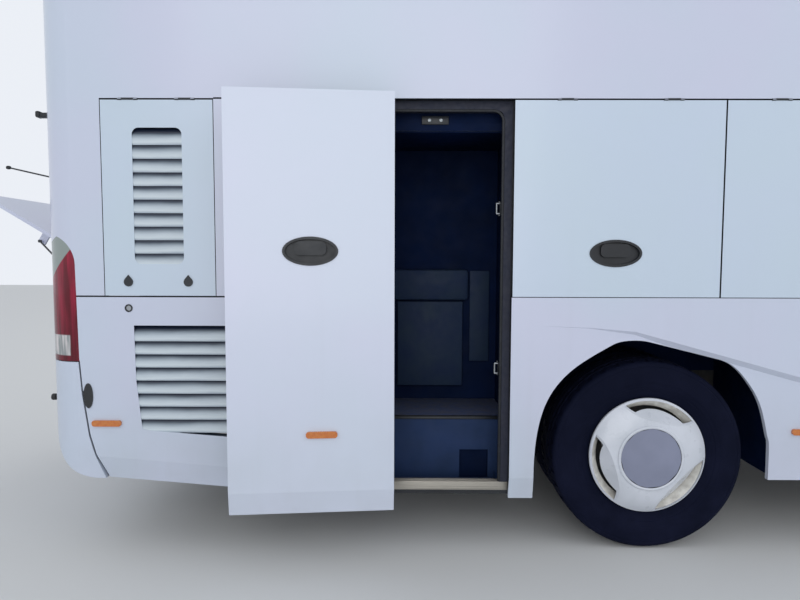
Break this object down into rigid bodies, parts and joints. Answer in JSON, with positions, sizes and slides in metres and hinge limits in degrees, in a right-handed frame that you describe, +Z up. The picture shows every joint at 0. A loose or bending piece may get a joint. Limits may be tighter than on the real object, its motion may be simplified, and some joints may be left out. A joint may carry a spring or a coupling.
{
  "type": "double-deck coach bus",
  "caption": "White double-deck touring coach with a tall walk-in side locker open on swing arms, louvred engine flaps and the engine lid raised.",
  "frame": {"origin": "middle of the footprint on the floor, engine lid raised and mirrors included", "axes": "+X forward, +Y to the coach's left, +Z up"},
  "size_m": [12.5108, 3.07, 3.9999],
  "materials": {
    "body_white": "glossy white paint",
    "black_trim": "black moulded plastic",
    "grey_panel": "grey inner panelling",
    "aluminium": "worn chequered aluminium",
    "glass": "tinted bonded glass",
    "lamp_red": "dark red lens",
    "lamp_clear": "clear lens over bright reflectors",
    "lamp_amber": "amber lens",
    "tyre": "black rubber, worn matt",
    "wheel_white": "white trim over a painted rim",
    "steel": "bare steel",
    "chassis_black": "black frame paint",
    "engine_grey": "painted casting",
    "moquette": "blue woven seat cover"
  },
  "bodies": {
    "coach": {"chassis_frame": "chassis_black", "lower_floor": "grey_panel", "upper_deck": "grey_panel", "side_wall_right": "body_white", "side_wall_left": "body_white", "roof_shell": "body_white", "front_shell": "body_white", "rear_shell": "body_white", "bulkheads": "grey_panel", "door_frames": "black_trim", "tall_door_step": "aluminium", "windows": "glass", "windscreens": "glass", "front_bumper": "body_white", "rear_bumper": "body_white", "headlamps": "lamp_clear", "tail_lamps": "lamp_red", "marker_lamps": "lamp_amber", "mirrors": "black_trim", "seats": "moquette", "dashboard": "black_trim", "engine_block": "engine_grey", "exhaust": "steel", "front_axle": "chassis_black", "rear_axle": "chassis_black"},
    "tall_door_arm": {"tall_door_arm": "steel"},
    "tall_door": {"tall_door": "body_white"},
    "front_door_arm": {"front_door_arm": "steel"},
    "front_door": {"front_door": "body_white", "front_door_glass": "glass"},
    "engine_lid": {"engine_lid": "body_white"},
    "strut_tubes": {"strut_tubes": "black_trim"},
    "strut_rods": {"strut_rods": "steel"},
    "grille_flap_right": {"grille_flap_right": "body_white"},
    "locker_flap_rear_right": {"locker_flap_rear_right": "body_white"},
    "locker_flap_front_right": {"locker_flap_front_right": "body_white"},
    "knuckle_right": {"knuckle_right": "steel"},
    "wheel_front_right": {"tyre_front_right": "tyre", "wheel_front_right": "wheel_white"},
    "wheel_rear_right": {"tyre_rear_right": "tyre", "wheel_rear_right": "wheel_white"},
    "grille_flap_left": {"grille_flap_left": "body_white"},
    "locker_flap_rear_left": {"locker_flap_rear_left": "body_white"},
    "locker_flap_front_left": {"locker_flap_front_left": "body_white"},
    "knuckle_left": {"knuckle_left": "steel"},
    "wheel_front_left": {"tyre_front_left": "tyre", "wheel_front_left": "wheel_white"},
    "wheel_rear_left": {"tyre_rear_left": "tyre", "wheel_rear_left": "wheel_white"}
  },
  "joints": [
    {"name": "steer_right", "type": "hinge", "parent": "coach", "child": "knuckle_right", "pos_m": [3.50536, -0.96, 0.504], "axis": [0, 0, 1], "range_deg": [-38, 38]},
    {"name": "roll_front_right", "type": "hinge", "parent": "knuckle_right", "child": "wheel_front_right", "pos_m": [3.50536, -1.08, 0.504], "axis": [0, 1, 0], "continuous": true},
    {"name": "roll_rear_right", "type": "hinge", "parent": "coach", "child": "wheel_rear_right", "pos_m": [-2.59464, -1.08, 0.504], "axis": [0, 1, 0], "continuous": true},
    {"name": "grille_flap_right_hinge", "type": "hinge", "parent": "coach", "child": "grille_flap_right", "pos_m": [-5.11564, -1.275, 2.323], "axis": [-1, 0, 0], "range_deg": [0, 90]},
    {"name": "locker_flap_rear_right_hinge", "type": "hinge", "parent": "coach", "child": "locker_flap_rear_right", "pos_m": [-2.80064, -1.275, 2.323], "axis": [-1, 0, 0], "range_deg": [0, 90]},
    {"name": "locker_flap_front_right_hinge", "type": "hinge", "parent": "coach", "child": "locker_flap_front_right", "pos_m": [-1.73414, -1.275, 2.323], "axis": [-1, 0, 0], "range_deg": [0, 90]},
    {"name": "steer_left", "type": "hinge", "parent": "coach", "child": "knuckle_left", "pos_m": [3.50536, 0.96, 0.504], "axis": [0, 0, 1], "range_deg": [-38, 38]},
    {"name": "roll_front_left", "type": "hinge", "parent": "knuckle_left", "child": "wheel_front_left", "pos_m": [3.50536, 1.08, 0.504], "axis": [0, 1, 0], "continuous": true},
    {"name": "roll_rear_left", "type": "hinge", "parent": "coach", "child": "wheel_rear_left", "pos_m": [-2.59464, 1.08, 0.504], "axis": [0, 1, 0], "continuous": true},
    {"name": "grille_flap_left_hinge", "type": "hinge", "parent": "coach", "child": "grille_flap_left", "pos_m": [-5.11564, 1.275, 2.323], "axis": [1, 0, 0], "range_deg": [0, 90]},
    {"name": "locker_flap_rear_left_hinge", "type": "hinge", "parent": "coach", "child": "locker_flap_rear_left", "pos_m": [-2.80064, 1.275, 2.323], "axis": [1, 0, 0], "range_deg": [0, 90]},
    {"name": "locker_flap_front_left_hinge", "type": "hinge", "parent": "coach", "child": "locker_flap_front_left", "pos_m": [-1.73414, 1.275, 2.323], "axis": [1, 0, 0], "range_deg": [0, 90]},
    {"name": "tall_door_swing", "type": "hinge", "parent": "coach", "child": "tall_door_arm", "pos_m": [-4.09464, -1.155, 0.95], "axis": [0, 0, 1], "range_deg": [0, 155]},
    {"name": "tall_door_turn", "type": "hinge", "parent": "tall_door_arm", "child": "tall_door", "pos_m": [-4.37109, -1.32243, 0.95], "axis": [0, 0, 1], "range_deg": [-160.4, 0]},
    {"name": "front_door_swing", "type": "hinge", "parent": "coach", "child": "front_door_arm", "pos_m": [5.07536, -1.155, 0.56], "axis": [0, 0, 1], "range_deg": [0, 155]},
    {"name": "front_door_turn", "type": "hinge", "parent": "front_door_arm", "child": "front_door", "pos_m": [4.69758, -1.11396, 0.56], "axis": [0, 0, 1], "range_deg": [-160.4, 0]},
    {"name": "engine_lid_hinge", "type": "hinge", "parent": "coach", "child": "engine_lid", "pos_m": [-5.74464, 0, 1.589], "axis": [0, -1, 0], "range_deg": [0, 121]},
    {"name": "strut_lean", "type": "hinge", "parent": "coach", "child": "strut_tubes", "pos_m": [-5.34464, 0, 0.969], "axis": [0, -1, 0], "range_deg": [0, 2.11]},
    {"name": "strut_slide", "type": "slide", "parent": "strut_tubes", "child": "strut_rods", "axis": [-0.6818, 0, 0.7315], "range_m": [-0.3981, 0]}
  ],
  "couplings": [
    {"joint": "steer_left", "follows": "steer_right", "ratio": 1},
    {"joint": "tall_door_turn", "follows": "tall_door_swing", "ratio": -1.0348},
    {"joint": "front_door_turn", "follows": "front_door_swing", "ratio": -1.0348},
    {"joint": "strut_lean", "follows": "engine_lid_hinge", "ratio": 0.017355},
    {"joint": "strut_slide", "follows": "engine_lid_hinge", "m_per_rad": -0.18846}
  ]
}
